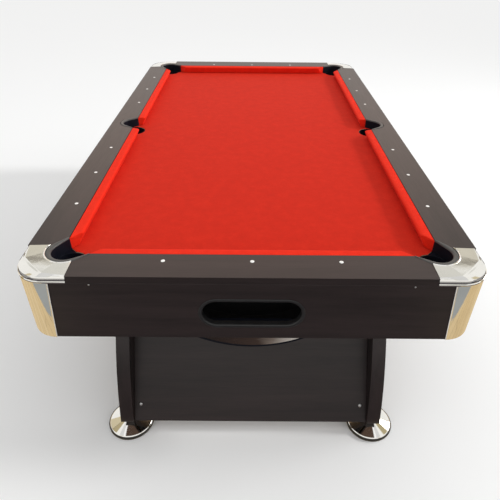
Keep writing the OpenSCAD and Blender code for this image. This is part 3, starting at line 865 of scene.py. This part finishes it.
def slot_bezel():
    lo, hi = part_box("slot_bezel")
    cz = (lo[2] + hi[2]) / 2
    half_l, half_h = (hi[0] - lo[0]) / 2, (hi[2] - lo[2]) / 2
    face = lo[1]
    depth = hi[1] - lo[1]
    edge = 0.012
    # (inset from the outer edge, depth behind the face)
    levels = [(0.0, 0.0018), (0.0002, 0.0009), (0.0014, 0.0001), (0.0035, -0.0004),
              (0.0062, -0.0005), (0.0086, -0.0001), (0.0104, 0.0012), (0.0115, 0.0034),
              (edge, 0.0070), (edge, depth), (edge - 0.003, depth), (edge - 0.003, 0.0022)]
    rings = []
    for inset, back in levels:
        rings.append([(x, face + back, cz + z) for x, z in stadium(half_l - inset, half_h - inset)])
    grid = Grid()
    grid.loft(rings, closed_path=True)
    obj = grid.build("slot_bezel_moulding", [bezel_black])
    finish_piece(obj, "table", ["slot_bezel"])


def ball_box_board():
    """Lacquered front of the ball box, its colour holding a painted highlight, with a black edging
    round its bowed foot.
    """
    lo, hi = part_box("ball_box_front")
    half = hi[0]
    radius = 0.380
    centre_z = lo[2] + radius
    steps = 72
    arcs = []
    for k in range(steps + 1):
        x = -half + 2 * half * k / steps
        arcs.append((x, centre_z - math.sqrt(radius ** 2 - x ** 2)))
    grid = Grid()
    rings = []
    for x, z in arcs:
        foot = z + 0.0022
        rings.append([(x, lo[1] + 0.0006, foot), (x, lo[1], foot + 0.0006),
                      (x, lo[1], hi[2] - 0.0006), (x, lo[1] + 0.0006, hi[2]),
                      (x, hi[1], hi[2]), (x, hi[1], foot)])
    grid.loft(rings, caps=True)
    band = []
    for x, z in arcs:
        tilt = x / radius
        up = Vector((-tilt, 0.0, math.sqrt(1 - tilt ** 2)))
        foot = Vector((x, 0.0, z))
        ring = []
        for out, rise in ((0.0, 0.0), (-0.0011, 0.0006), (-0.0016, 0.0024), (-0.0013, 0.0052),
                          (-0.0002, 0.0068), (0.0006, 0.0070), (0.0006, 0.0024),
                          (0.0118, 0.0024), (0.0118, 0.0)):
            q = foot + up * rise
            ring.append((q[0], lo[1] + out, q[2]))
        band.append(ring)
    grid.loft(band, caps=True, slot=1)
    obj = grid.build("ball_box_board", [lacquer_painted_highlight, black_plastic_and_painted_shade], sharp=0.7)
    for face in obj.data.polygons:
        if face.normal[1] > 0.7 or face.normal[2] > 0.7:
            face.material_index = 1
    finish_piece(obj, "table", ["ball_box_front"])


# ---- small fittings

def sights():
    """Slightly domed pearl discs."""
    grid = Grid()
    r = SIGHT_R
    xs = high("sights", 0) - r
    ys_end = high("sights", 1) - r
    spots = [(sx * xs, sy * y) for sx in (-1, 1) for sy in (-1, 1) for y in (0.318, 0.572, 0.827)]
    spots += [(x, sy * ys_end) for sy in (-1, 1) for x in (-0.267, 0.0, 0.267)]
    profile = [(0.0, 0.0009), (r * 0.35, 0.00085), (r * 0.7, 0.00065), (r * 0.9, 0.0004),
               (r * 0.98, 0.0001), (r, -0.0006), (r, -0.0018), (0.0, -0.0018)]
    for x, y in spots:
        lathe(grid, profile, (x, y, RAIL_TOP), 36)
    obj = grid.build("sight_discs", [sight_white])
    finish_piece(obj, "table", ["sights"])


def screw_head(grid, place, r, height, slots_r):
    """A domed head with a hexagonal socket. place turns (x, y, out) into the frame."""
    n = 36
    turns = [2 * math.pi * k / n for k in range(n)]
    profile = [(1.0, 0.0), (1.0, 0.25), (0.94, 0.55), (0.8, 0.82), (0.62, 0.96), (0.5, 1.0)]
    rings = []
    for part, up in profile:
        rings.append([place(r * part * math.cos(a), r * part * math.sin(a), height * up)
                      for a in turns])
    hexagon = []
    for a in turns:
        reach = slots_r * math.cos(math.pi / 6) / math.cos((a % (math.pi / 3)) - math.pi / 6)
        hexagon.append((reach * math.cos(a), reach * math.sin(a)))
    rings.append([place(x, y, height * 0.99) for x, y in hexagon])
    rings.append([place(x, y, height * 0.35) for x, y in hexagon])
    grid.loft(rings)
    grid.add([place(x, y, height * 0.35) for x, y in hexagon], [tuple(range(n))])


def panel_bolts():
    """Round socket heads that hold the end panels to their cleats."""
    grid = Grid()
    # the panel's outer face starts at its lower front edge
    face_foot = Vector((0.0, HALF_L - 0.070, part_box("leg_rear_right")[0][2] - 0.005))
    up = Vector((0.0, -math.sin(PANEL_TILT), math.cos(PANEL_TILT)))
    out = Vector((0.0, math.cos(PANEL_TILT), math.sin(PANEL_TILT)))
    for sy in (-1, 1):
        for sx in (-1, 1):
            for rise in (BOLT_RISE, PANEL_LENGTH - BOLT_RISE):
                centre = face_foot + up * rise + Vector((sx * BOLT_X, 0, 0))

                def place(a, b, o, centre=centre, sy=sy):
                    p = centre + Vector((a, 0, 0)) + up * b + out * (o - 0.0004)
                    return p[0], p[1] * sy, p[2]

                screw_head(grid, place, 0.0068, 0.0034, 0.0026)
    obj = grid.build("panel_bolt_heads", [zinc])
    finish_piece(obj, "table", ["panel_bolts"])


def apron_screws():
    grid = Grid()
    lo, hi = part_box("apron_screws")
    cz = (lo[2] + hi[2]) / 2
    x = hi[0] - 0.003
    for sy in (-1, 1):
        for sx in (-1, 1):
            def place(a, b, o, sx=sx, sy=sy):
                return sx * x + a, sy * (HALF_L + o - 0.0002), cz + b
            screw_head(grid, place, 0.003, 0.0012, 0.0012)
    obj = grid.build("apron_screw_heads", [zinc])
    finish_piece(obj, "table", ["apron_screws"])


# ---- levelling feet

def foot(name):
    lo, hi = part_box(f"foot_pad_{name}")
    centre = ((lo[0] + hi[0]) / 2, (lo[1] + hi[1]) / 2, 0.0)
    r = round((hi[0] - lo[0]) / 2, 3)
    top = hi[2]
    pad = Grid()
    lathe(pad, [(0.0, 0.0), (r - 0.006, 0.0), (r - 0.003, 0.0005), (r - 0.0008, 0.0018),
                (r, 0.0038), (r, top - 0.0026), (r - 0.0006, top - 0.0010), (r - 0.002, top),
                (0.0, top)], centre)
    obj = pad.build(f"foot_base_{name}", [pad_black])
    finish_piece(obj, f"foot_{name}", [f"foot_pad_{name}"])
    dish = Grid()
    boss = high(f"foot_dish_{name}", 2)
    cone = rounded([(r - 0.0040, top + 0.0002), (r - 0.0040, top + 0.0010),
                    (r - 0.0064, top + 0.0034), (0.024, boss - 0.0150),
                    (0.0200, boss - 0.0100), (0.0190, boss), (0.0083, boss)],
                   [0.0006, 0.0014, 0.0120, 0.0030, 0.0016], 6)
    lathe(dish, [tuple(p) for p in cone] + [(0.0083, top + 0.0123), (0.0, top + 0.0123)],
          centre, 128)
    obj = dish.build(f"foot_dish_{name}_plate", [chrome], sharp=1.0)
    finish_piece(obj, f"foot_{name}", [f"foot_dish_{name}"])
    stem = Grid()
    node = f"foot_stem_{name}"
    thread(stem, centre, low(node, 2), high(node, 2), THREAD_R, THREAD_PITCH)
    nut(stem, centre, boss + 0.0003, 0.005, 0.0125)
    obj = stem.build(f"foot_stem_{name}_thread", [zinc], sharp=0.8)
    finish_piece(obj, f"stem_{name}", [f"foot_stem_{name}"])


def thread(grid, centre, z0, z1, radius, pitch):
    """Screw thread: rings whose radius follows the turn, closed at both ends."""
    n = 24
    per_turn = 8
    root = radius - 0.0011
    count = int((z1 - z0) / pitch * per_turn)
    rings = []
    for i in range(count + 1):
        z = z0 + (z1 - z0) * i / count
        ends = min(1.0, (z - z0) / 0.003, (z1 - z) / 0.003)
        ring = []
        for k in range(n):
            phase = (z / pitch - k / n) % 1.0
            crest = 1.0 - abs(2.0 * phase - 1.0)
            rr = root + (radius - root) * crest * max(0.0, ends)
            a = 2 * math.pi * k / n
            ring.append((centre[0] + rr * math.cos(a), centre[1] + rr * math.sin(a), z))
        rings.append(ring)
    grid.loft(rings, caps=True)


def nut(grid, centre, z, height, r):
    """Hexagon with chamfered corners."""
    n = 48
    rings = []
    for part, cut in ((0.0, 0.93), (0.16, 1.0), (0.84, 1.0), (1.0, 0.93)):
        ring = []
        for k in range(n):
            a = 2 * math.pi * k / n
            flat = r * math.cos(math.pi / 6) / math.cos((a % (math.pi / 3)) - math.pi / 6)
            reach = min(flat, r * cut)
            ring.append((centre[0] + reach * math.cos(a), centre[1] + reach * math.sin(a),
                         z + height * part))
        rings.append(ring)
    grid.loft(rings, caps=True)


# ---- carried-over CAD nodes

def carried_nodes():
    edge = 0.0012
    for node in ("rail_left", "rail_right", "apron_left", "apron_right"):
        dress(node, laminate_y, edge)
    for node in ("rail_front", "rail_rear", "apron_front", "apron_rear",
                 "leg_panel_front", "leg_panel_rear"):
        dress(node, laminate_x, edge)
    for name in QUARTERS:
        dress(f"leg_{name}", laminate_z, 0.0025)
    for node in ("bed_panel", "bed_beams", "corner_blocks", "leg_cleats"):
        dress(node, raw_board, 0.0008)
    for node in ("ball_box", "gutter_left", "gutter_right"):
        dress(node, gutter_plastic, 0.0008)
    dress("leg_nuts", zinc)


# ---- studio

def flat_mesh(name, corners, mat):
    """One flat face that belongs to the stage."""
    mesh = bpy.data.meshes.new(name)
    mesh.from_pydata(corners, [], [tuple(range(len(corners)))])
    mesh.materials.append(mat)
    obj = place_object(name, mesh)
    return obj


def glow(name, colour):
    mat = bpy.data.materials.new(name)
    mat.use_nodes = True
    tn, links = mat.node_tree.nodes, mat.node_tree.links
    tn.remove(tn["Principled BSDF"])
    light = tn.new("ShaderNodeEmission")
    light.inputs["Color"].default_value = (*colour, 1.0)
    links.new(light.outputs["Emission"], tn["Material Output"].inputs["Surface"])
    return mat


def reflected_only(obj):
    """The plating sees a card like this, and nothing else does."""
    obj.visible_camera = False
    obj.visible_diffuse = False
    obj.visible_shadow = False
    obj.visible_transmission = False


def planks(name):
    """Glowing boards, for the plating to mirror."""
    mat = glow(name, (0.60, 0.44, 0.24))
    tn, links = mat.node_tree.nodes, mat.node_tree.links
    bricks = texture(tn, links, "Brick", Color1=(0.80, 0.63, 0.38, 1.0),
                     Color2=(0.70, 0.52, 0.28, 1.0), Mortar=(0.45, 0.33, 0.19, 1.0), Scale=1.0,
                     Brick_Width=1.3, Row_Height=0.16, Mortar_Size=0.006)
    links.new(bricks.outputs["Color"], tn["Emission"].inputs["Color"])
    return mat


def oblong(a0, a1, b0, b1):
    return [(a0, b0), (a1, b0), (a1, b1), (a0, b1)]


def flat(x0, x1, y0, y1, z):
    return [(x, y, z) for x, y in oblong(x0, x1, y0, y1)]


def studio():
    s = FLOOR
    mat, _, _, bsdf = new_material("studio_floor_white")
    settle(bsdf, Base_Color=(0.93, 0.93, 0.925, 1.0), Roughness=0.9, Specular_IOR_Level=0.0)
    floor = flat_mesh("studio_floor", flat(-s, s, -s, s, 0), mat)
    floor.visible_glossy = False

    # glowing cards that only glossy surfaces see, which paint reflections of a plank floor with
    # grey paths and a dark ring far out, brown shades overhead, and the banded walls of a room
    cards = [("warm_card", flat(-s, s, -s, s, -0.009), planks("warm_floor"))]
    grey = glow("grey_path", (0.19, 0.158, 0.155))
    dark = glow("dark_card", (0.05, 0.045, 0.055))
    path = [(-2.05, -2.45), (-2.0, -1.72), (-0.985, -1.97), (-0.96, -1.25), (0.96, -1.25),
            (0.985, -1.97), (2.0, -1.72), (2.05, -2.45)]
    for i, sy in enumerate((1, -1)):
        cards.append((f"path_card_{i}", [(x, sy * y, -0.006) for x, y in path], grey))
    silver = glow("silver_path", (0.36, 0.375, 0.375))
    brown = glow("brown_card", (0.085, 0.055, 0.040))
    mid_grey = glow("mid_grey", (0.34, 0.33, 0.32))
    wedge = [(0.985, 1.97), (2.0, 1.72), (2.05, 2.45), (1.0, 2.45)]
    overhead = oblong(0.0, 1.75, 1.0, 2.15)
    for sx in (-1, 1):
        for sy in (-1, 1):
            for name, shape, z, look in (("wedge", wedge, -0.0045, silver),
                                         ("shade", overhead, 4.1, brown)):
                corners = [(sx * x, sy * y, z) for x, y in shape]
                cards.append((f"{name}_card_{sx}_{sy}", corners, look))
    far = [(-5, 5, -4.2, -2.45), (-5, 5, 2.45, 4.2), (-3.0, -2.05, -2.45, 2.45),
           (2.05, 3.0, -2.45, 2.45)]
    beyond = [(-5, 5, -5, -4.2), (-5, 5, 4.2, 5), (-5, -3.0, -4.2, 4.2), (3.0, 5, -4.2, 4.2)]
    cards += [(f"far_card_{i}", flat(*sides, -0.003), dark) for i, sides in enumerate(far)]
    cards += [(f"mid_card_{i}", flat(*sides, -0.004), mid_grey) for i, sides in enumerate(beyond)]
    white = glow("white_wall", (1.0, 0.99, 0.96))
    light_tan = glow("light_tan", (0.70, 0.61, 0.42))
    tan = glow("tan", (0.50, 0.42, 0.25))
    dark_tan = glow("dark_tan", (0.24, 0.19, 0.11))
    beige = glow("beige", (0.70, 0.66, 0.56))
    pale = glow("pale", (0.76, 0.75, 0.70))
    bright = glow("bright_wall", (1.48, 1.17, 1.00))
    shade = glow("shade", (0.17, 0.15, 0.12))
    d = ROOM
    # a side wall as (from y, to y, from z, to z, look)
    side = [(-d, d, 0.0, 1.0, mid_grey), (-d, d, 1.0, 2.2, white),
            (2.95, d, 2.2, 2.75, dark_tan), (2.95, d, 2.75, 7.6, white),
            (1.95, 2.95, 2.2, 7.6, white), (-0.1, 1.95, 2.2, 6.4, light_tan),
            (-0.17, -0.1, 2.2, 6.4, shade), (-1.2, -0.17, 2.2, 6.4, tan),
            (-d, -1.2, 2.2, 6.4, white), (-d, 1.95, 6.4, 7.6, white)]
    for k, (y0, y1, z0, z1, look) in enumerate(side):
        for sx in (-1, 1):
            cards.append((f"side_card_{k}_{sx}",
                          [(sx * d, y, z) for y, z in oblong(y0, y1, z0, z1)], look))
    # an end wall as (from x, to x, from z, to z, look)
    end = [(-d, d, 0.0, 1.0, mid_grey), (-d, d, 1.0, 2.2, white), (-3.6, 3.6, 2.2, 8.0, bright)]
    for sx in (-1, 1):
        x0, x1 = sorted((sx * 3.6, sx * d))
        end += [(x0, x1, 5.84, 8.0, pale), (x0, x1, 5.70, 5.84, white), (x0, x1, 5.62, 5.70, beige),
                (x0, x1, 5.50, 5.62, shade), (x0, x1, 2.2, 5.50, beige)]
    for k, (x0, x1, z0, z1, look) in enumerate(end):
        for sy in (-1, 1):
            cards.append((f"end_card_{k}_{sy}",
                          [(x, sy * d, z) for x, z in oblong(x0, x1, z0, z1)],
                          white if look is bright and sy < 0 else look))
    for name, corners, look in cards:
        reflected_only(flat_mesh(name, corners, look))

    world = bpy.data.worlds.new("studio")
    bpy.context.scene.world = world
    world.use_nodes = True
    settle(world.node_tree.nodes["Background"], Color=(1.0, 1.0, 1.0, 1.0), Strength=0.76)

    def area(name, place, target, size, power, colour=(1, 1, 1)):
        light = bpy.data.lights.new(name, "AREA")
        light.shape = "RECTANGLE"
        light.size, light.size_y = size
        light.energy = power
        light.color = colour
        obj = place_object(name, light)
        obj.location = place
        aim = (Vector(target) - Vector(place)).to_track_quat("-Z", "Y")
        obj.rotation_euler = aim.to_euler()

    area("key_overhead", (0.0, 0.2, 4.2), (0, 0, 0.8), (4.5, 5.5), 22.0)
    area("side_window", (4.6, 0.6, 2.1), (0, 0, 0.8), (1.6, 2.6), 60.0)
    low_sun = bpy.data.lights.new("low_sun", "SUN")
    low_sun.energy = 1.25
    low_sun.angle = math.radians(9)
    obj = place_object("low_sun", low_sun)
    obj.location = (4.0, 0.0, 2.8)
    obj.rotation_euler = (0.0, math.radians(62), math.radians(4))


def camera():
    data = bpy.data.cameras.new("camera")
    data.sensor_width = 36.0
    data.lens = 34.11
    obj = place_object("camera", data)
    yaw, pitch, roll = 0.0019, 0.6088, -0.0088
    forward = Vector((math.sin(yaw) * math.cos(pitch), math.cos(yaw) * math.cos(pitch),
                      -math.sin(pitch)))
    right = Vector((math.cos(yaw), -math.sin(yaw), 0.0))
    down = forward.cross(right)
    right, down = (math.cos(roll) * right + math.sin(roll) * down,
                   -math.sin(roll) * right + math.cos(roll) * down)
    turn = Matrix((right, -down, -forward)).transposed()
    obj.matrix_world = Matrix.Translation((-0.0091, -2.3122, 1.6578)) @ turn.to_4x4()
    bpy.context.scene.camera = obj
    bpy.context.scene.view_settings.view_transform = "Standard"


bed_cloth()
cushions()
pocket_liners()
for quarter, sign in QUARTERS.items():
    corner_cap(quarter, sign)
    corner_post(quarter, sign)
    foot(quarter)
slot_bezel()
ball_box_board()
sights()
panel_bolts()
apron_screws()
carried_nodes()
studio()
camera()
